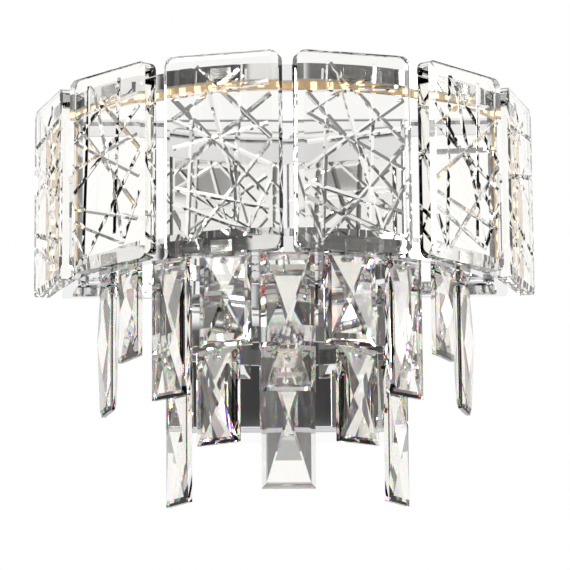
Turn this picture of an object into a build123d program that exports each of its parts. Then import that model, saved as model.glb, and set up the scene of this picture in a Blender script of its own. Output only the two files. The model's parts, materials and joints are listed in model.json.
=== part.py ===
"""Half-round crystal wall sconce.

A mirror-bright backplate box carries two chrome D-shaped rings. Six embossed
glass panels are bonded round the rings, LED tape lights them from inside, and
fourteen faceted pendants hang on jump rings from two curved rails.

Millimetres, +Z up. The wall is the plane y = 0 and the front faces -Y. The
origin is on the wall, at the middle of the backplate.
"""

import os
from math import asin, cos, degrees, radians, sin, sqrt, tan

from build123d import *

# ---------------------------------------------------------------- backplate
box_width = 140
box_height = 185
box_depth = 46
box_wall = 1.2
box_edge_radius = 3
box_bend = 3
notch_clearance = 0.4

# -------------------------------------------------------------- wall bracket
bracket_thick = 1.5
bracket_height = 44
bracket_arm_reach = 95
slot_spacing_x = 60
slot_spacing_z = 28
slot_length = 12
slot_width = 5
ear_depth = 14
ear_width = 12
ear_middle = 15
ear_screw_depth = 8

# --------------------------------------------------------------------- drum
drum_offset = 7.2
panel_apothem = 142
panel_height = 113
panel_thick = 9.5
panel_corner = 5.3
panel_edge_break = 0.6
panel_bevel_width = 3.6
panel_bevel_depth = 0.8
panel_low = -6
panel_front_gap = 5.65
panel_face_angles = (16, 47.7, 72.5)
panel_slides = (-1.9, -3.7, 14.2)
groove_width = 3
groove_depth = 0.9
pad_thick = 0.5
pad_width = 12
pad_height = 6

# -------------------------------------------------------------------- rings
ring_width = 6.5
ring_wall = 1.5
ring_flange = 1.5
ring_height = 9
ring_low = -5.5
crossbar_screw_x = 84

# ---------------------------------------------------------------- LED parts
carrier_thick = 1
carrier_drop = 6
carrier_lap = 8.4
tape_thick = 0.25
tape_width = 5
led_length = 3.5
led_width = 2.8
led_thick = 0.7
led_spacing = 9.2
led_count = 40

# -------------------------------------------------------------- end posts
post_angle = 66.3
post_width = 9
post_thick = 3
post_gap = 0.2
post_tape_width = 8
post_tape_gap = 0.6
stud_radius = 1.5
stud_proud = 1
nut_across = 5.5
nut_thick = 2.4

# ------------------------------------------------------------------- rails
rail_thick = 2
rail_height = 9
rail_hole = 1.5
rail_web = 1.7
wire_seat = 0.7
outer_rail_low = 5.4
outer_rail_half_angle = 86
inner_rail_inset = 5
inner_rail_corner = 17
inner_rail_bow = 9.7
inner_rail_low = -47
inner_foot_width = 13
row_gap_side = 42
row_gap_front = 19

# ------------------------------------------------------------------ straps
strap_width = 8
strap_thick = 2
strap_spacing = 36
strap_foot_drop = 9
strap_fit = 0.3
side_strap_inset = 1
side_strap_lap = 5

# ------------------------------------------------------------------- screws
screw_shank = 1.5
screw_head = 3
screw_head_height = 1.8
screw_hole = 1.6
screw_bite = 3
screw_edge = 0.7
driver_slot_width = 0.9
driver_slot_depth = 0.8

# ---------------------------------------------------------------- pendants
pendant_width = 30.4
long_pendant = 81
short_pendant = 54.4
end_pendant = 87
pendant_corner = 3.4
girdle_half = 1.25
shoulder_half = 2.6
crown_half = 6.5
pendant_bevel = 3.2
pendant_hole = 1.8
hole_from_top = 5.3
link_radius = 5.25
link_wire = 0.5
link_sides = 8
link_seat = 0.1
outer_step_angle = 19.1
outer_turn_angles = (0, 0.5, 10, 9, 1)
inner_short_setback = 25.6
inner_end_setback = 3
inner_face_angles = (0, 40, 65)

# ----------------------------------------------------------- driver and wiring
driver_length = 92
driver_height = 36
driver_depth = 24
driver_middle = 52
terminal_length = 32
terminal_height = 18
terminal_depth = 14
terminal_middle = -50
terminal_ways = 3
terminal_screw_hole = 2.2
terminal_screw_depth = 4
terminal_wire_hole = 1.7
driver_corner = 4
driver_edge = 1.5
earth_x = 52
earth_z = -14

# ------------------------------------------------------------ worked-out sizes
panel_back = panel_apothem - panel_thick
ring_outer = panel_back - pad_thick
front_turn = radians(panel_face_angles[0])
panel_width = 2 * (panel_back * tan(front_turn) + panel_slides[0]) - panel_front_gap / cos(front_turn)
ring_inner = ring_outer - ring_width
ring_face = ring_outer - ring_wall
ring_back = bracket_thick
ring_high = ring_low + ring_height
top_ring_low = box_height / 2
top_ring_high = top_ring_low + ring_height
lower_flange_top = ring_low + ring_flange
upper_flange_low = top_ring_high - ring_flange
crossbar_middle = (lower_flange_top + ring_high) / 2
carrier_low = top_ring_low - carrier_drop
tape_radius = ring_face + tape_thick
post_outer = ring_face - carrier_thick - post_gap
post_radius = post_outer - post_thick / 2
wire_to_rail_low = rail_web + rail_hole - wire_seat
inner_rail_half_width = box_width / 2 - inner_rail_inset
outer_rail_radius = inner_rail_half_width + row_gap_side
outer_rail_end = outer_rail_radius * cos(radians(outer_rail_half_angle))
inner_rail_front = outer_rail_radius - row_gap_front
inner_rail_radius = inner_rail_front + inner_rail_bow
inner_rail_centre = inner_rail_bow
inner_places = (0, inner_rail_half_width - inner_short_setback, inner_rail_half_width - inner_end_setback)
strap_low = outer_rail_low - strap_thick
strap_front = drum_offset + sqrt(ring_face**2 - (strap_spacing / 2 + strap_width / 2) ** 2) - strap_fit
side_strap_y = outer_rail_end + side_strap_inset + strap_width / 2
side_strap_end = sqrt(ring_face**2 - (side_strap_y + strap_width / 2 - drum_offset) ** 2) - strap_fit
corner_x = inner_rail_half_width - inner_rail_corner
corner_y = inner_rail_centre - sqrt((inner_rail_radius - inner_rail_corner) ** 2 - corner_x**2)
# Each panel: the azimuth it faces, and how far its middle slides along its own plane.
panels_right = list(zip(panel_face_angles, panel_slides))
panels = [(-azimuth, -slide) for azimuth, slide in reversed(panels_right)] + panels_right


# ------------------------------------------------------------ planes and outlines
def facing(radius, azimuth, height, centre_y=-drum_offset, face=None):
    """Upright plane on a circle about (0, centre_y): x along the tangent, y up, z outwards.

    Azimuth 0 is the front. A pendant's plane may face another way than its place.
    """
    place = radians(azimuth)
    turn = radians(azimuth if face is None else face)
    return Plane(
        origin=(radius * sin(place), centre_y - radius * cos(place), height),
        x_dir=(cos(turn), sin(turn), 0),
        z_dir=(sin(turn), -cos(turn), 0),
    )


def d_outline(radius, back):
    """Half-round face about the drum axis, closed by a straight side at y = -back."""
    reach = sqrt(radius**2 - (drum_offset - back) ** 2)
    with BuildSketch() as outline:
        with BuildLine():
            ThreePointArc((-reach, -back), (0, -drum_offset - radius), (reach, -back))
            Line((reach, -back), (-reach, -back))
        make_face()
    return outline.sketch


def arc_band(inner, outer, half_angle, centre_y=-drum_offset):
    """Curved band between two radii, reaching half_angle degrees to each side of the front."""
    start = -90 - half_angle
    with BuildSketch() as band:
        with BuildLine():
            outside = CenterArc((0, centre_y), outer, start, 2 * half_angle)
            inside = CenterArc((0, centre_y), inner, start, 2 * half_angle)
            Line(outside @ 0, inside @ 0)
            Line(outside @ 1, inside @ 1)
        make_face()
    return band.sketch


def inner_rail_outline(grow):
    """Face inside the inner rail's middle line grown by `grow`: front arc, two corners, two legs."""
    half = inner_rail_half_width + grow
    corner = inner_rail_corner + grow
    radius = inner_rail_radius + grow
    join = degrees(asin(corner_x / (inner_rail_radius - inner_rail_corner)))
    with BuildSketch() as outline:
        with BuildLine():
            front = CenterArc((0, inner_rail_centre), radius, -90 - join, 2 * join)
            right = CenterArc((corner_x, corner_y), corner, join - 90, 90 - join)
            left = CenterArc((-corner_x, corner_y), corner, 180, 90 - join)
            Line(right @ 1, (half, -box_depth))
            Line((half, -box_depth), (-half, -box_depth))
            Line((-half, -box_depth), left @ 0)
        make_face()
    return outline.sketch


def save(part, name):
    """Label a finished part and write its STEP file."""
    part.label = name
    export_step(part, f"parts/{name}.step")


os.makedirs("parts", exist_ok=True)

# ------------------------------------------------------------------ wall bracket
# A pressed plate inside the box, with two arms behind the lower ring's crossbar.
with BuildPart() as wall_bracket:
    with BuildSketch(Plane.XZ):
        Rectangle(box_width - 2 * box_wall, bracket_height)
        with Locations((0, (ring_low + ring_high) / 2)):
            Rectangle(2 * bracket_arm_reach, ring_height)
        with GridLocations(slot_spacing_x, slot_spacing_z, 2, 2):
            SlotOverall(slot_length, slot_width, mode=Mode.SUBTRACT)
        with Locations((crossbar_screw_x, crossbar_middle), (-crossbar_screw_x, crossbar_middle)):
            Circle(screw_shank, mode=Mode.SUBTRACT)
        with Locations((earth_x, earth_z)):
            Circle(screw_shank, mode=Mode.SUBTRACT)
    extrude(amount=bracket_thick)
    ear_face = box_width / 2 - box_wall
    with Locations((ear_face, 0, ear_middle), (bracket_thick - ear_face, 0, ear_middle)):
        Box(bracket_thick, ear_depth, ear_width, align=(Align.MAX, Align.MAX, Align.CENTER))
    with BuildSketch(Plane.YZ):
        with Locations((-ear_screw_depth, ear_middle)):
            Circle(screw_shank)
    extrude(amount=box_width / 2, both=True, mode=Mode.SUBTRACT)
save(wall_bracket.part, "wall_bracket")

# ----------------------------------------------------------------- backplate box
# A bent and welded pan, open at the wall, notched over the lower crossbar.
with BuildPart() as backplate_box:
    with BuildSketch(Plane.XZ):
        RectangleRounded(box_width, box_height, box_edge_radius)
    extrude(amount=box_depth)
    fillet(backplate_box.faces().sort_by(Axis.Y)[0].edges(), radius=box_bend)
    offset(amount=-box_wall, openings=backplate_box.faces().sort_by(Axis.Y)[-1])
    notch_depth = ring_back + ring_width + notch_clearance
    notch_height = ring_height + 2 * notch_clearance
    with Locations((0, 0, (ring_low + ring_high) / 2)):
        Box(
            2 * box_width,
            notch_depth,
            notch_height,
            align=(Align.CENTER, Align.MAX, Align.CENTER),
            mode=Mode.SUBTRACT,
        )
    with BuildSketch(Plane.YZ):
        with Locations((-ear_screw_depth, ear_middle)):
            Circle(screw_hole)
    extrude(amount=box_width, both=True, mode=Mode.SUBTRACT)
    inner_screw_x = inner_rail_half_width - inner_foot_width / 2
    strap_screw_z = strap_low - strap_foot_drop / 2
    inner_screw_z = inner_rail_low + rail_height / 2
    with BuildSketch(Plane.XZ):
        with Locations((strap_spacing / 2, strap_screw_z), (-strap_spacing / 2, strap_screw_z)):
            Circle(screw_shank)
        with Locations((inner_screw_x, inner_screw_z), (-inner_screw_x, inner_screw_z)):
            Circle(screw_shank)
    extrude(amount=2 * box_depth, mode=Mode.SUBTRACT)
save(backplate_box.part, "backplate_box")


# ------------------------------------------------------------------------ screws
def pan_screw(shank_length):
    """Slotted pan screw, its head on +Z above the plane it clamps."""
    with BuildPart() as screw:
        with BuildSketch():
            Circle(screw_head)
        extrude(amount=screw_head_height)
        chamfer(screw.edges().sort_by(Axis.Z)[-1], length=screw_edge)
        with BuildSketch():
            Circle(screw_shank)
        extrude(amount=-shank_length)
        with Locations((0, 0, screw_head_height)):
            Box(
                2 * screw_head,
                driver_slot_width,
                2 * driver_slot_depth,
                mode=Mode.SUBTRACT,
            )
    return screw.part


def screws_on(planes, shank_length):
    """One node of alike screws, one on each plane."""
    with BuildPart() as screws:
        with Locations(*[plane.location for plane in planes]):
            add(pan_screw(shank_length))
    return screws.part


box_sides = [
    Plane(origin=(side * box_width / 2, -ear_screw_depth, ear_middle), x_dir=(0, side, 0), z_dir=(side, 0, 0))
    for side in (-1, 1)
]
save(screws_on(box_sides, box_wall + bracket_thick + screw_bite), "box_screws")

crossbar_front = ring_back + ring_wall
crossbar_planes = [
    Plane(origin=(side * crossbar_screw_x, -crossbar_front, crossbar_middle), x_dir=(1, 0, 0), z_dir=(0, -1, 0))
    for side in (-1, 1)
]
save(screws_on(crossbar_planes, crossbar_front), "crossbar_screws")

foot_front = box_depth + strap_thick
foot_points = [(side * strap_spacing / 2, strap_screw_z) for side in (-1, 1)]
foot_points += [(side * inner_screw_x, inner_screw_z) for side in (-1, 1)]
foot_planes = [
    Plane(origin=(x, -foot_front, z), x_dir=(1, 0, 0), z_dir=(0, -1, 0)) for x, z in foot_points
]
save(screws_on(foot_planes, strap_thick + box_wall + screw_bite), "foot_screws")

earth_plane = Plane(origin=(earth_x, -bracket_thick, earth_z), x_dir=(1, 0, 0), z_dir=(0, -1, 0))
save(screws_on([earth_plane], bracket_thick), "earth_screw")


# ------------------------------------------------------------------------- rings
def d_ring(low, flange_low):
    """Angle-section ring: an upright outer wall and a flat flange turned inwards."""
    with BuildPart() as ring:
        with BuildSketch(Plane.XY.offset(low)):
            add(d_outline(ring_outer, ring_back))
            add(d_outline(ring_face, ring_back + ring_wall), mode=Mode.SUBTRACT)
        extrude(amount=ring_height)
        with BuildSketch(Plane.XY.offset(flange_low)):
            add(d_outline(ring_outer, ring_back))
            add(d_outline(ring_inner, ring_back + ring_width), mode=Mode.SUBTRACT)
        extrude(amount=ring_flange)
        post_places = [facing(post_radius, side * post_angle, 0).origin for side in (-1, 1)]
        with BuildSketch(Plane.XY.offset(flange_low)):
            with Locations(*[(place.X, place.Y) for place in post_places]):
                Circle(screw_hole)
        extrude(amount=ring_flange, mode=Mode.SUBTRACT)
    return ring.part


save(d_ring(top_ring_low, upper_flange_low), "top_ring")

with BuildPart() as bottom_ring:
    add(d_ring(ring_low, ring_low))
    with BuildSketch(Plane.XZ):
        with Locations((crossbar_screw_x, crossbar_middle), (-crossbar_screw_x, crossbar_middle)):
            Circle(screw_hole)
    extrude(amount=crossbar_front, mode=Mode.SUBTRACT)
save(bottom_ring.part, "bottom_ring")

# ----------------------------------------------------------------- glass panels
# Bird's-nest pattern: straight V-grooves, given by the two ends of each as parts
# of the panel's half width and half height, measured from its middle.
groove_ends = (
    ((-0.841, 0.585), (0.841, 0.672)),
    ((-0.841, 0.568), (0.797, -0.472)),
    ((-0.841, 0.349), (0.870, -0.166)),
    ((-0.841, 0.349), (0.333, 0.812)),
    ((-0.449, 0.891), (-0.594, -0.891)),
    ((0.348, 0.891), (0.232, -0.699)),
    ((-0.435, 0.873), (0.870, 0.114)),
    ((-0.275, 0.769), (0.014, 0.148)),
    ((0.014, 0.148), (0.435, -0.734)),
    ((0.870, 0.550), (-0.841, -0.192)),
    ((-0.841, 0.061), (0.826, 0.253)),
    ((0.870, 0.079), (-0.507, -0.873)),
    ((-0.841, -0.341), (0.826, -0.594)),
    ((-0.841, -0.489), (0.478, -0.812)),
    ((-0.841, -0.568), (-0.565, -0.891)),
    ((0.870, -0.314), (0.478, -0.769)),
)

with BuildPart() as panel_form:
    with BuildSketch(Plane.XY.offset(-panel_thick)):
        RectangleRounded(panel_width, panel_height, panel_corner)
    extrude(amount=panel_thick)
    front_face = panel_form.faces().sort_by(Axis.Z)[-1]
    chamfer(
        front_face.edges(),
        length=panel_bevel_width,
        length2=panel_bevel_depth,
        reference=front_face,
    )
    chamfer(panel_form.faces().sort_by(Axis.Z)[0].edges(), length=panel_edge_break)
    with BuildPart(mode=Mode.PRIVATE) as grooves:
        for (start_x, start_y), (end_x, end_y) in groove_ends:
            start = Vector(start_x * panel_width / 2, start_y * panel_height / 2, 0)
            end = Vector(end_x * panel_width / 2, end_y * panel_height / 2, 0)
            run = end - start
            across = Vector(0, 0, 1).cross(run.normalized())
            with BuildSketch(Plane(origin=start, x_dir=across, z_dir=run)):
                Polygon(
                    (-groove_width / 2, 0),
                    (groove_width / 2, 0),
                    (0, -groove_depth),
                    align=None,
                )
            extrude(amount=run.length)
    add(grooves.part, mode=Mode.SUBTRACT)

for number, (azimuth, slide) in enumerate(panels, start=1):
    middle = panel_low + panel_height / 2
    with BuildPart() as glass_panel:
        with Locations(facing(panel_apothem, azimuth, middle).location * Pos(slide, 0, 0)):
            add(panel_form.part)
    save(glass_panel.part, f"glass_panel_{number}")

# Clear bond between each ring's wall and each panel's flat back.
with BuildPart() as bond_pads:
    for azimuth, _ in panels:
        for low in (ring_low, top_ring_low):
            with Locations(facing(panel_apothem - panel_thick, azimuth, low + ring_height / 2).location):
                Box(pad_width, pad_height, 2 * pad_thick, align=(Align.CENTER, Align.CENTER, Align.MAX))
    with Locations((0, -drum_offset, 0)):
        Cylinder(ring_outer, 2 * box_height, mode=Mode.SUBTRACT)
save(bond_pads.part, "bond_pads")

# --------------------------------------------------------------------- LED parts
carrier_half_angle = degrees(led_spacing * led_count / 2 / tape_radius)
with BuildPart() as led_carrier:
    with BuildSketch(Plane.XY.offset(carrier_low)):
        add(arc_band(ring_face - carrier_thick, ring_face, carrier_half_angle))
    extrude(amount=carrier_drop + carrier_lap - ring_flange)
save(led_carrier.part, "led_carrier")

with BuildPart() as led_tape:
    with BuildSketch(Plane.XY.offset(carrier_low + (carrier_drop - tape_width) / 2)):
        add(arc_band(ring_face, tape_radius, carrier_half_angle))
    extrude(amount=tape_width)
save(led_tape.part, "led_tape")

with BuildPart() as led_chips:
    led_step = 2 * carrier_half_angle / led_count
    led_angles = [led_step * (index - (led_count - 1) / 2) for index in range(led_count)]
    led_planes = [facing(tape_radius, azimuth, top_ring_low - carrier_drop / 2) for azimuth in led_angles]
    with Locations(*[plane.location for plane in led_planes]):
        Box(led_length, led_width, led_thick, align=(Align.CENTER, Align.CENTER, Align.MIN))
save(led_chips.part, "led_chips")


# --------------------------------------------------------------------- end posts
post_height = upper_flange_low - lower_flange_top


def end_post(azimuth):
    """Flat bar between the two flanges, with a threaded stud through each."""
    foot = facing(post_radius, azimuth, lower_flange_top)
    base = Plane(origin=foot.origin, x_dir=foot.x_dir, z_dir=(0, 0, 1))
    stud_reach = ring_flange + nut_thick + stud_proud
    with BuildPart() as post:
        with BuildSketch(base):
            Rectangle(post_width, post_thick)
        extrude(amount=post_height)
        with BuildSketch(base.offset(-stud_reach)):
            Circle(stud_radius)
        extrude(amount=post_height + 2 * stud_reach)
    return post.part


save(end_post(-post_angle), "left_post")
save(end_post(post_angle), "right_post")

with BuildPart() as post_nuts:
    for azimuth in (-post_angle, post_angle):
        place = facing(post_radius, azimuth, 0).origin
        for low in (ring_low - nut_thick, top_ring_high):
            with BuildSketch(Plane.XY.offset(low)):
                with Locations((place.X, place.Y)):
                    RegularPolygon(nut_across / 2, 6, major_radius=False, rotation=azimuth)
                    Circle(stud_radius, mode=Mode.SUBTRACT)
            extrude(amount=nut_thick)
save(post_nuts.part, "post_nuts")

post_tape_low = ring_high + post_tape_gap
post_tape_high = carrier_low - post_tape_gap
post_tape_middle = (post_tape_low + post_tape_high) / 2
post_led_count = 1 + int((post_tape_high - post_tape_low - led_length) / led_spacing)
with BuildPart() as post_tapes:
    for azimuth in (-post_angle, post_angle):
        with Locations(facing(post_outer, azimuth, post_tape_middle).location):
            Box(
                post_tape_width,
                post_tape_high - post_tape_low,
                tape_thick,
                align=(Align.CENTER, Align.CENTER, Align.MIN),
            )
save(post_tapes.part, "post_tapes")

with BuildPart() as post_chips:
    for azimuth in (-post_angle, post_angle):
        with Locations(facing(post_outer + tape_thick, azimuth, post_tape_middle).location):
            with GridLocations(0, led_spacing, 1, post_led_count):
                Box(led_width, led_length, led_thick, align=(Align.CENTER, Align.CENTER, Align.MIN))
save(post_chips.part, "post_chips")

# ------------------------------------------------------------------------- rails
outer_numbers = range(1 - len(outer_turn_angles), len(outer_turn_angles))
outer_pivot = outer_rail_low + wire_to_rail_low
inner_pivot = inner_rail_low + wire_to_rail_low


def outer_place(number):
    """Plane of an outer pendant: its jump ring's wire in the rail, facing as it settles."""
    side = 1 if number > 0 else -1
    azimuth = number * outer_step_angle
    face = azimuth + side * outer_turn_angles[abs(number)]
    return facing(outer_rail_radius, azimuth, outer_pivot, 0, face)


def inner_place(number):
    """Plane of an inner pendant on the inner rail's middle line."""
    side = 1 if number > 0 else -1
    x = inner_places[abs(number)]
    join_x = corner_x * inner_rail_radius / (inner_rail_radius - inner_rail_corner)
    if x < join_x:
        y = inner_rail_centre - sqrt(inner_rail_radius**2 - x**2)
    else:
        y = corner_y - sqrt(inner_rail_corner**2 - (x - corner_x) ** 2)
    face = radians(side * inner_face_angles[abs(number)])
    return Plane(
        origin=(side * x, y, inner_pivot),
        x_dir=(cos(face), sin(face), 0),
        z_dir=(sin(face), -cos(face), 0),
    )


with BuildPart() as outer_rail:
    with BuildSketch(Plane.XY.offset(outer_rail_low)):
        add(arc_band(outer_rail_radius - rail_thick / 2, outer_rail_radius + rail_thick / 2, outer_rail_half_angle, 0))
    extrude(amount=rail_height)
    for number in outer_numbers:
        hole = facing(outer_rail_radius, number * outer_step_angle, outer_pivot + wire_seat, 0)
        with Locations(hole.location):
            Cylinder(rail_hole, 4 * rail_thick, mode=Mode.SUBTRACT)
save(outer_rail.part, "outer_rail")

inner_numbers = range(1 - len(inner_places), len(inner_places))


def rail_normal(place):
    """Azimuth of the inner rail's own normal where a pendant hangs."""
    x = abs(place.X)
    join_x = corner_x * inner_rail_radius / (inner_rail_radius - inner_rail_corner)
    if x < join_x:
        azimuth = degrees(asin(x / inner_rail_radius))
    else:
        azimuth = degrees(asin((x - corner_x) / inner_rail_corner))
    return azimuth if place.X > 0 else -azimuth


with BuildPart() as inner_rail:
    with BuildSketch(Plane.XY.offset(inner_rail_low)):
        add(inner_rail_outline(rail_thick / 2))
        add(inner_rail_outline(-rail_thick / 2), mode=Mode.SUBTRACT)
        for side in (-1, 1):
            with Locations((side * inner_screw_x, -box_depth - strap_thick / 2)):
                Rectangle(inner_foot_width, strap_thick)
    extrude(amount=rail_height)
    for number in inner_numbers:
        place = inner_place(number).origin
        hole = facing(0, rail_normal(place), 0)
        axis = Plane(origin=(place.X, place.Y, inner_pivot + wire_seat), x_dir=hole.x_dir, z_dir=hole.z_dir)
        with Locations(axis.location):
            Cylinder(rail_hole, 4 * rail_thick, mode=Mode.SUBTRACT)
    with BuildSketch(Plane.XZ.offset(box_depth - rail_thick)):
        with Locations((inner_screw_x, inner_screw_z), (-inner_screw_x, inner_screw_z)):
            Circle(screw_hole)
    extrude(amount=3 * strap_thick, mode=Mode.SUBTRACT)
save(inner_rail.part, "inner_rail")


# ------------------------------------------------------------------------ straps
def front_strap(side):
    """Bent strap from the lower ring's flange back to a foot on the box's front."""
    with BuildPart() as strap:
        with BuildSketch(Plane.YZ.offset(side * strap_spacing / 2)):
            with BuildLine():
                Polyline(
                    (-strap_front, lower_flange_top),
                    (-strap_front, outer_rail_low),
                    (-box_depth, outer_rail_low),
                    (-box_depth, strap_low - strap_foot_drop),
                    (-foot_front, strap_low - strap_foot_drop),
                    (-foot_front, strap_low),
                    (strap_thick - strap_front, strap_low),
                    (strap_thick - strap_front, lower_flange_top),
                    close=True,
                )
            make_face()
        extrude(amount=strap_width / 2, both=True)
        outer_bends = strap.edges().filter_by(Axis.X).group_by(Axis.Z)[-1]
        fillet(outer_bends, radius=strap_thick)
        with BuildSketch(Plane.XZ.offset(box_depth)):
            with Locations((side * strap_spacing / 2, strap_screw_z)):
                Circle(screw_hole)
        extrude(amount=strap_thick, mode=Mode.SUBTRACT)
    return strap.part


def side_strap(side):
    """Short strap under one end of the outer rail, its outer end bent down to the flange."""
    inner_end = outer_rail_radius - side_strap_lap
    with BuildPart() as strap:
        with BuildSketch(Plane.XZ.offset(side_strap_y)):
            with BuildLine():
                Polyline(
                    (side * inner_end, strap_low),
                    (side * inner_end, outer_rail_low),
                    (side * side_strap_end, outer_rail_low),
                    (side * side_strap_end, lower_flange_top),
                    (side * (side_strap_end - strap_thick), lower_flange_top),
                    (side * (side_strap_end - strap_thick), strap_low),
                    close=True,
                )
            make_face()
        extrude(amount=strap_width / 2, both=True)
        outer_bend = strap.edges().filter_by(Axis.Y).group_by(Axis.Z)[-1].sort_by(Axis.X)[0 if side < 0 else -1]
        fillet(outer_bend, radius=strap_thick)
    return strap.part


save(front_strap(-1), "strap_left")
save(front_strap(1), "strap_right")
save(side_strap(-1), "side_strap_left")
save(side_strap(1), "side_strap_right")


# ---------------------------------------------------------------------- pendants
def pendant(length):
    """Faceted crystal about its jump ring's upper wire: x across, y up, z outwards.

    Each face is a low four-sided pyramid inside a bevelled border, so its four
    facets meet in an X at mid-length and the side view is a slender lens.
    """
    top = hole_from_top - link_seat - 2 * link_radius
    middle = top - length / 2
    with BuildPart() as crystal:
        for side in (1, -1):
            with BuildSketch() as waist:
                with Locations((0, middle)):
                    Rectangle(pendant_width, length)
            extrude(amount=side * girdle_half)
            with BuildSketch(Plane.XY.offset(side * girdle_half)) as edge:
                with Locations((0, middle)):
                    Rectangle(pendant_width, length)
            with BuildSketch(Plane.XY.offset(side * shoulder_half)) as shoulder:
                with Locations((0, middle)):
                    Rectangle(pendant_width - 2 * pendant_bevel, length - 2 * pendant_bevel)
            loft(sections=[edge.sketch, shoulder.sketch], ruled=True)
            loft(sections=[shoulder.sketch, Vertex(0, middle, side * crown_half)], ruled=True)
        with BuildSketch() as outline:
            with Locations((0, middle)):
                RectangleRounded(pendant_width, length, pendant_corner)
        extrude(amount=crown_half, both=True, mode=Mode.INTERSECT)
        with BuildSketch():
            with Locations((0, top - hole_from_top)):
                Circle(pendant_hole)
        extrude(amount=crown_half, both=True, mode=Mode.SUBTRACT)
    return crystal.part


def jump_ring():
    """Closed wire ring through rail and pendant, hanging from its upper wire."""
    with BuildPart() as link:
        with BuildSketch(Plane.XY):
            RegularPolygon(link_wire, link_sides, rotation=180 / link_sides)
        revolve(axis=Axis((0, -link_radius, 0), (1, 0, 0)))
    return link.part


pendant_forms = {
    "long": pendant(long_pendant),
    "short": pendant(short_pendant),
    "end": pendant(end_pendant),
}
link_form = jump_ring()


def hang(place, rail_azimuth, size, name):
    """Write one pendant and its jump ring at a plane on a rail."""
    ring_plane = Plane(
        origin=place.origin,
        x_dir=(cos(radians(rail_azimuth)), sin(radians(rail_azimuth)), 0),
        z_dir=(sin(radians(rail_azimuth)), -cos(radians(rail_azimuth)), 0),
    )
    with BuildPart() as crystal:
        with Locations(place.location):
            add(pendant_forms[size])
    save(crystal.part, f"{name.replace('_', '_crystal_')}")
    with BuildPart() as link:
        with Locations(ring_plane.location):
            add(link_form)
    save(link.part, f"{name.replace('_', '_link_')}")


for position, number in enumerate(outer_numbers, start=1):
    size = "long" if number % 2 == 0 else "short"
    hang(outer_place(number), number * outer_step_angle, size, f"outer_{position}")

for position, number in enumerate(inner_numbers, start=1):
    size = ("long", "short", "end")[abs(number)]
    place = inner_place(number)
    hang(place, rail_normal(place.origin), size, f"inner_{position}")

# ------------------------------------------------------------ driver and wiring
inside_front = box_depth - box_wall
with BuildPart() as led_driver:
    with Locations((0, -inside_front, driver_middle)):
        Box(driver_length, driver_depth, driver_height, align=(Align.CENTER, Align.MIN, Align.CENTER))
    fillet(led_driver.edges().filter_by(Axis.Y), radius=driver_corner)
    fillet(led_driver.faces().sort_by(Axis.Y)[-1].edges(), radius=driver_edge)
save(led_driver.part, "led_driver")

with BuildPart() as terminal_block:
    with Locations((0, -inside_front, terminal_middle)):
        Box(terminal_length, terminal_depth, terminal_height, align=(Align.CENTER, Align.MIN, Align.CENTER))
    way_pitch = terminal_length / terminal_ways
    with BuildSketch(Plane.XZ.offset(inside_front - terminal_depth)):
        with Locations((0, terminal_middle)):
            with GridLocations(way_pitch, terminal_height / 2, terminal_ways, 2):
                Circle(terminal_screw_hole)
    extrude(amount=terminal_screw_depth, mode=Mode.SUBTRACT)
    with BuildSketch(Plane.XY.offset(terminal_middle)):
        with Locations((0, terminal_depth / 3 - inside_front)):
            with GridLocations(way_pitch, 0, terminal_ways, 1):
                Circle(terminal_wire_hole)
    extrude(amount=terminal_height, both=True, mode=Mode.SUBTRACT)
save(terminal_block.part, "terminal_block")
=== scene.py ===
"""Looks of the half-round crystal wall sconce: materials, camera, light and stage.

Metres, in the CAD frame: +Z up, the wall is y = 0 and the front faces -Y.
"""

import json
from math import radians

import bmesh
import bpy
from mathutils import Euler, Matrix, Vector


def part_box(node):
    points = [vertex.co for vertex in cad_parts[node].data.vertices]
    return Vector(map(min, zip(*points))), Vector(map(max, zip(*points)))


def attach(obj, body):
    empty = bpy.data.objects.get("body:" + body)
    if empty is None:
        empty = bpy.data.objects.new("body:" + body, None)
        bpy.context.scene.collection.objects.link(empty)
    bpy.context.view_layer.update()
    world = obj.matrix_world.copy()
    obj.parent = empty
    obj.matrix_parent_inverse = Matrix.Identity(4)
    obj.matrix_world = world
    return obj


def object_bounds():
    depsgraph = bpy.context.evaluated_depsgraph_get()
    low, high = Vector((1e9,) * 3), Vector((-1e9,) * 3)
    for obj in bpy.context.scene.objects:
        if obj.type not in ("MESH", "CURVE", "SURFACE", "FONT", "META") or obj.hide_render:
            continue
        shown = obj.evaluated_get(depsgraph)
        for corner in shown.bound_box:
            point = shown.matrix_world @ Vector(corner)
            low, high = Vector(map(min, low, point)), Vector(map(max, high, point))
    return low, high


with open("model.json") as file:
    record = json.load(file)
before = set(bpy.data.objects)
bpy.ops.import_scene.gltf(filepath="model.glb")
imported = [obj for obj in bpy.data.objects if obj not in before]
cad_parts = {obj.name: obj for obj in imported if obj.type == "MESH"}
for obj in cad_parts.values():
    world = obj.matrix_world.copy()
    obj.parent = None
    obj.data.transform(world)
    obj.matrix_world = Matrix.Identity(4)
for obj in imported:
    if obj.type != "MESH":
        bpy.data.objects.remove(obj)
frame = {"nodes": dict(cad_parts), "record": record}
frame_low, frame_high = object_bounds()
nodes = frame["nodes"]

# ---------------------------------------------------------------- photograph's camera
image_side = 570
focal_pixels = 3206.5
sensor_width = 36.0
camera_place = (-0.0339, -1.8774, -0.3553)
camera_yaw = 1.044
camera_pitch = 10.784
camera_roll = -0.479
camera_reach = 50

# --------------------------------------------------------------------------- light
led_colour = (1.0, 0.82, 0.55)
led_strength = 1.6
# Painted glow: the tapes emit this warm light of their own, though they are no lamps.
tape_glow_colour = (1.0, 0.56, 0.22)
tape_glow = 0.12
room_strength = 1.0
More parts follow.
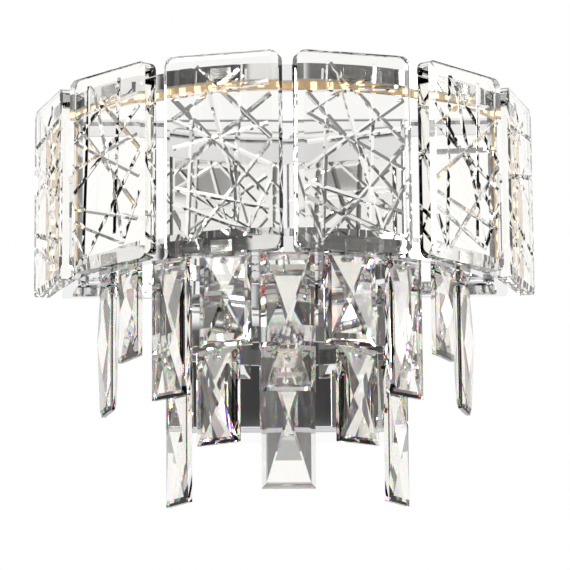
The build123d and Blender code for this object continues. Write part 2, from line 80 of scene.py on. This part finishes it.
# Dark cards of the studio, as seen from the object: azimuth from the front (towards the
# right) and height above the horizon, both from-to in degrees, then fade and darkness.
# The last three are narrow, and show in the box's mirror front from near the camera.
dark_cards = {
    "left front": (-66, -20, -10, 45, 4, 0.92),
    "right front": (12, 66, -10, 45, 4, 0.84),
    "low behind, right": (154, 170, -30, 8, 3, 0.75),
    "high behind, right": (154, 170, 21, 60, 3, 0.75),
    "low behind, left": (-170, -154, -30, 8, 3, 0.75),
    "high behind, left": (-170, -154, 21, 60, 3, 0.75),
    "overhead": (-181, 181, 56, 91, 6, 0.7),
    "grey patch, left panel": (-1.0, 0.1, 12.39, 12.96, 0.06, 0.7),
    "grey patch, right panel": (1.74, 2.42, 12.5, 12.93, 0.06, 0.7),
    "dark band between pendants": (-2.5, 4.5, 8.2, 10.0, 0.15, 0.95),
}
# Lamps: place and side in metres, power in watts; both aim at the origin.
key_place = (-1.6, -1.8, 1.4)
key_side = 1.2
key_power = 40
fill_place = (2.15, -0.87, 0.6)
fill_side = 0.8
fill_power = 14
floor_below = 1.4
floor_side = 14.0
floor_roughness = 0.8

# ------------------------------------------------------------------------- colours
chrome_colour = (0.82, 0.82, 0.83)
mirror_colour = (0.93, 0.93, 0.935)
panel_tint = (1.0, 0.996, 0.984)
pendant_tint = (0.988, 0.981, 0.962)
tape_colour = (0.80, 0.60, 0.36)
zinc_colour = (0.55, 0.56, 0.58)
bond_colour = (0.95, 0.95, 0.93)
aluminium_colour = (0.90, 0.90, 0.90)
case_colour = (0.82, 0.82, 0.80)
terminal_colour = (0.80, 0.80, 0.78)
brass_colour = (0.78, 0.60, 0.28)
floor_colour = (0.80, 0.805, 0.82)
white = (1, 1, 1)

# ---------------------------------------------------------------------------- glass
panel_ior = 1.47
pendant_ior = 1.56
pendant_fire = 0.12
pendant_spread = 0.02

# ------------------------------------------------------------- drift of the surfaces
drift_detail = 4.0
rolled = (1, 1, 12)

# ------------------------------------------------- tapes at the rings' ends, in metres
end_strip_middle = 0.1306
end_strip_width = 0.008
end_strip_front = -0.0095
end_strip_thick = 0.001
end_tape_thick = 0.00025
end_chip_size = (0.0028, 0.0007, 0.0035)
end_chip_pitch = 0.0092
end_edge_break = 0.0000625


# ----------------------------------------------------------------------- materials
def new_material(name):
    """Empty node material with its output, ready for a shader."""
    material = bpy.data.materials.new(name)
    material.use_nodes = True
    tree = material.node_tree
    tree.nodes.clear()
    output = tree.nodes.new("ShaderNodeOutputMaterial")
    return material, tree, output


def principled(name, colour, metallic=0.0, roughness=0.3, **sockets):
    """Plain Principled material."""
    material, tree, output = new_material(name)
    shader = tree.nodes.new("ShaderNodeBsdfPrincipled")
    shader.inputs["Base Color"].default_value = (*colour, 1)
    shader.inputs["Metallic"].default_value = metallic
    shader.inputs["Roughness"].default_value = roughness
    for socket, value in sockets.items():
        shader.inputs[socket.replace("_", " ")].default_value = value
    tree.links.new(shader.outputs["BSDF"], output.inputs["Surface"])
    return material


def worn(name, colour, metallic, smooth, rough, grain, stretch=(1, 1, 1), shade=0.0, **sockets):
    """Principled material whose roughness, and by a share `shade` its colour, drift."""
    material = principled(name, colour, metallic=metallic, roughness=smooth, **sockets)
    tree = material.node_tree
    shader = next(node for node in tree.nodes if node.type == "BSDF_PRINCIPLED")
    place = tree.nodes.new("ShaderNodeTexCoord")
    scaled = tree.nodes.new("ShaderNodeMapping")
    scaled.inputs["Scale"].default_value = stretch
    noise = tree.nodes.new("ShaderNodeTexNoise")
    noise.inputs["Scale"].default_value = grain
    noise.inputs["Detail"].default_value = drift_detail
    tree.links.new(place.outputs["Object"], scaled.inputs["Vector"])
    tree.links.new(scaled.outputs["Vector"], noise.inputs["Vector"])
    drift = tree.nodes.new("ShaderNodeMapRange")
    drift.inputs["To Min"].default_value = smooth
    drift.inputs["To Max"].default_value = rough
    tree.links.new(noise.outputs["Fac"], drift.inputs["Value"])
    tree.links.new(drift.outputs["Result"], shader.inputs["Roughness"])
    if shade:
        tone = tree.nodes.new("ShaderNodeMix")
        tone.data_type = "RGBA"
        tone.inputs["A"].default_value = (*(part * (1 - shade) for part in colour), 1)
        tone.inputs["B"].default_value = (*colour, 1)
        tree.links.new(noise.outputs["Fac"], tone.inputs["Factor"])
        tree.links.new(tone.outputs["Result"], shader.inputs["Base Color"])
    return material


def add_shaders(tree, shaders):
    """Sum of several shaders."""
    total = shaders[0]
    for shader in shaders[1:]:
        join = tree.nodes.new("ShaderNodeAddShader")
        tree.links.new(total, join.inputs[0])
        tree.links.new(shader, join.inputs[1])
        total = join.outputs["Shader"]
    return total


def clear_glass(name, tint, ior, fire=0.0, spread=0.0):
    """Clear glass; a part `fire` of its light splits into red, green and blue that bend apart."""
    material, tree, output = new_material(name)
    shares = [(tuple(part * (1 - fire) for part in tint), ior)]
    if fire:
        for index in range(3):
            colour = [0.0, 0.0, 0.0]
            colour[index] = tint[index] * fire
            shares.append((tuple(colour), ior + spread * (index - 1)))
    shaders = []
    for colour, bend in shares:
        glass = tree.nodes.new("ShaderNodeBsdfGlass")
        glass.inputs["Color"].default_value = (*colour, 1)
        glass.inputs["Roughness"].default_value = 0.0
        glass.inputs["IOR"].default_value = bend
        shaders.append(glass.outputs["BSDF"])
    tree.links.new(add_shaders(tree, shaders), output.inputs["Surface"])
    return material


def glowing(name, colour, strength):
    """Plain emitter."""
    material, tree, output = new_material(name)
    shader = tree.nodes.new("ShaderNodeEmission")
    shader.inputs["Color"].default_value = (*colour, 1)
    shader.inputs["Strength"].default_value = strength
    tree.links.new(shader.outputs["Emission"], output.inputs["Surface"])
    return material


by_slot = {
    "chrome": worn("chrome", chrome_colour, metallic=1.0, smooth=0.03, rough=0.07, grain=90),
    "mirror_steel": worn(
        "mirror steel",
        mirror_colour,
        metallic=1.0,
        smooth=0.01,
        rough=0.04,
        grain=60,
    ),
    "zinc_steel": worn(
        "zinc steel",
        zinc_colour,
        metallic=1.0,
        smooth=0.28,
        rough=0.45,
        grain=300,
        shade=0.2,
    ),
    "panel_glass": clear_glass("panel glass", panel_tint, panel_ior),
    "pendant_glass": clear_glass(
        "pendant glass",
        pendant_tint,
        pendant_ior,
        fire=pendant_fire,
        spread=pendant_spread,
    ),
    "clear_bond": worn(
        "clear bond",
        bond_colour,
        metallic=0.0,
        smooth=0.1,
        rough=0.3,
        grain=400,
        Transmission_Weight=0.9,
    ),
    "aluminium": worn(
        "aluminium",
        aluminium_colour,
        metallic=1.0,
        smooth=0.12,
        rough=0.22,
        grain=400,
        stretch=rolled,
        shade=0.06,
    ),
    "tape_white": worn(
        "tape white",
        tape_colour,
        metallic=0.0,
        smooth=0.4,
        rough=0.6,
        grain=500,
        shade=0.15,
        # Painted glow: the tape emits warm light, though it is no lamp.
        Emission_Color=(*tape_glow_colour, 1),
        Emission_Strength=tape_glow,
    ),
    "led": glowing("led", led_colour, led_strength),
    "driver_case": worn(
        "driver case",
        case_colour,
        metallic=0.0,
        smooth=0.4,
        rough=0.6,
        grain=700,
        shade=0.08,
    ),
    "terminal_plastic": worn(
        "terminal plastic",
        terminal_colour,
        metallic=0.0,
        smooth=0.35,
        rough=0.5,
        grain=700,
        shade=0.08,
    ),
    "brass": worn("brass", brass_colour, metallic=1.0, smooth=0.15, rough=0.3, grain=500, shade=0.15),
}

for entry in frame["record"]["subparts"]:
    mesh = nodes[entry["node"]].data
    mesh.materials.clear()
    mesh.materials.append(by_slot[entry["material_slot"]])


# ------------------------------------------------------------------- end LED strips
def block_mesh(name, blocks):
    """Mesh of separate boxes, each given by its lowest and highest corner, edges broken."""
    shape = bmesh.new()
    for low, high in blocks:
        middle = (Vector(low) + Vector(high)) / 2
        size = Vector(high) - Vector(low)
        made = bmesh.ops.create_cube(shape, size=1.0)["verts"]
        bmesh.ops.scale(shape, vec=size, verts=made)
        bmesh.ops.translate(shape, vec=middle, verts=made)
    bmesh.ops.bevel(shape, geom=shape.edges[:], offset=end_edge_break, segments=1, affect="EDGES")
    mesh = bpy.data.meshes.new(name)
    shape.to_mesh(mesh)
    shape.free()
    return mesh


def add_piece(name, blocks, slot):
    """Piece made of boxes that rides on the frame, with a slot's material."""
    piece = bpy.data.objects.new(name, block_mesh(name, blocks))
    piece.data.materials.append(by_slot[slot])
    bpy.context.collection.objects.link(piece)
    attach(piece, "frame")


def end_strips():
    """Upright LED strips from ring to ring at the wall ends, facing forward."""
    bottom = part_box("bottom_ring")[1][2]
    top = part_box("top_ring")[0][2]
    chip_wide, chip_deep, chip_tall = end_chip_size
    count = int((top - bottom - chip_tall) / end_chip_pitch)
    first = (bottom + top - (count - 1) * end_chip_pitch) / 2
    tape_front = end_strip_front - end_tape_thick
    for side, word in ((-1, "left"), (1, "right")):
        middle = side * end_strip_middle
        half = end_strip_width / 2
        strip = (
            (middle - half, end_strip_front, bottom),
            (middle + half, end_strip_front + end_strip_thick, top),
        )
        tape = (
            (middle - half, tape_front, bottom + end_tape_thick),
            (middle + half, end_strip_front, top - end_tape_thick),
        )
        chips = []
        for index in range(count):
            z = first + index * end_chip_pitch
            chips.append(
                (
                    (middle - chip_wide / 2, tape_front - chip_deep, z - chip_tall / 2),
                    (middle + chip_wide / 2, tape_front, z + chip_tall / 2),
                )
            )
        add_piece(f"end_strip_{word}", [strip], "aluminium")
        add_piece(f"end_tape_{word}", [tape], "tape_white")
        add_piece(f"end_chips_{word}", chips, "led")


end_strips()


# --------------------------------------------------------------------------- stage
def calculate(tree, operation, first, second=None, third=None):
    """Output socket of a math node; numbers are set on its sockets."""
    node = tree.nodes.new("ShaderNodeMath")
    node.operation = operation
    for index, value in enumerate((first, second, third)):
        if value is None:
            continue
        if isinstance(value, (int, float)):
            node.inputs[index].default_value = value
        else:
            tree.links.new(value, node.inputs[index])
    return node.outputs["Value"]


def smooth_band(tree, value, low, high, soft):
    """1 between two angles in degrees, fading to 0 over `soft` degrees on each side."""
    rise = tree.nodes.new("ShaderNodeMapRange")
    fall = tree.nodes.new("ShaderNodeMapRange")
    for node, start, end in ((rise, low - soft, low), (fall, high + soft, high)):
        node.interpolation_type = "SMOOTHSTEP"
        node.inputs["From Min"].default_value = radians(start)
        node.inputs["From Max"].default_value = radians(end)
        tree.links.new(value, node.inputs["Value"])
    return calculate(tree, "MULTIPLY", rise.outputs["Result"], fall.outputs["Result"])


def studio_world():
    """White to the camera; to the object, a white studio with dark cards round it."""
    world = bpy.data.worlds.new("studio")
    world.use_nodes = True
    bpy.context.scene.world = world
    tree = world.node_tree
    tree.nodes.clear()
    output = tree.nodes.new("ShaderNodeOutputWorld")
    backdrop = tree.nodes.new("ShaderNodeBackground")
    backdrop.inputs["Color"].default_value = (*white, 1)
    backdrop.inputs["Strength"].default_value = 1.0
    room = tree.nodes.new("ShaderNodeBackground")
    coordinate = tree.nodes.new("ShaderNodeTexCoord")
    split = tree.nodes.new("ShaderNodeSeparateXYZ")
    tree.links.new(coordinate.outputs["Generated"], split.inputs["Vector"])
    front = calculate(tree, "MULTIPLY", split.outputs["Y"], -1.0)
    azimuth = calculate(tree, "ARCTAN2", split.outputs["X"], front)
    height = calculate(tree, "ARCSINE", split.outputs["Z"])
    light = 1.0
    for azimuth_low, azimuth_high, height_low, height_high, soft, dark in dark_cards.values():
        card = calculate(
            tree,
            "MULTIPLY",
            smooth_band(tree, azimuth, azimuth_low, azimuth_high, soft),
            smooth_band(tree, height, height_low, height_high, soft),
        )
        kept = calculate(tree, "MULTIPLY_ADD", card, -dark, 1.0)
        light = calculate(tree, "MULTIPLY", light, kept)
    tree.links.new(light, room.inputs["Color"])
    room.inputs["Strength"].default_value = room_strength
    path = tree.nodes.new("ShaderNodeLightPath")
    mix = tree.nodes.new("ShaderNodeMixShader")
    tree.links.new(path.outputs["Is Camera Ray"], mix.inputs["Fac"])
    tree.links.new(room.outputs["Background"], mix.inputs[1])
    tree.links.new(backdrop.outputs["Background"], mix.inputs[2])
    tree.links.new(mix.outputs["Shader"], output.inputs["Surface"])


def floor():
    """Pale floor well below the sconce."""
    bpy.ops.mesh.primitive_plane_add(size=floor_side, location=(0, 0, frame_low.z - floor_below))
    plane = bpy.context.object
    plane.name = "floor"
    plane.data.materials.append(principled("floor", floor_colour, roughness=floor_roughness))


def soft_light(name, place, side, power):
    """Square area light aimed at the origin."""
    lamp = bpy.data.lights.new(name, "AREA")
    lamp.size = side
    lamp.energy = power
    light = bpy.data.objects.new(name, lamp)
    light.location = place
    light.rotation_euler = (-Vector(place)).to_track_quat("-Z", "Y").to_euler()
    bpy.context.collection.objects.link(light)


def photo_camera():
    """Long lens a little below the sconce, looking up at it."""
    data = bpy.data.cameras.new("camera")
    data.sensor_width = sensor_width
    data.lens = focal_pixels / image_side * sensor_width
    data.clip_end = camera_reach
    camera = bpy.data.objects.new("camera", data)
    aim = Euler((radians(90 + camera_pitch), 0, radians(-camera_yaw)), "XYZ").to_matrix()
    roll = Matrix.Rotation(radians(camera_roll), 3, "Z")
    camera.matrix_world = Matrix.Translation(camera_place) @ (aim @ roll).to_4x4()
    bpy.context.collection.objects.link(camera)
    bpy.context.scene.camera = camera


studio_world()
floor()
soft_light("key", key_place, key_side, key_power)
soft_light("fill", fill_place, fill_side, fill_power)
photo_camera()

bpy.context.scene.view_settings.view_transform = "Standard"
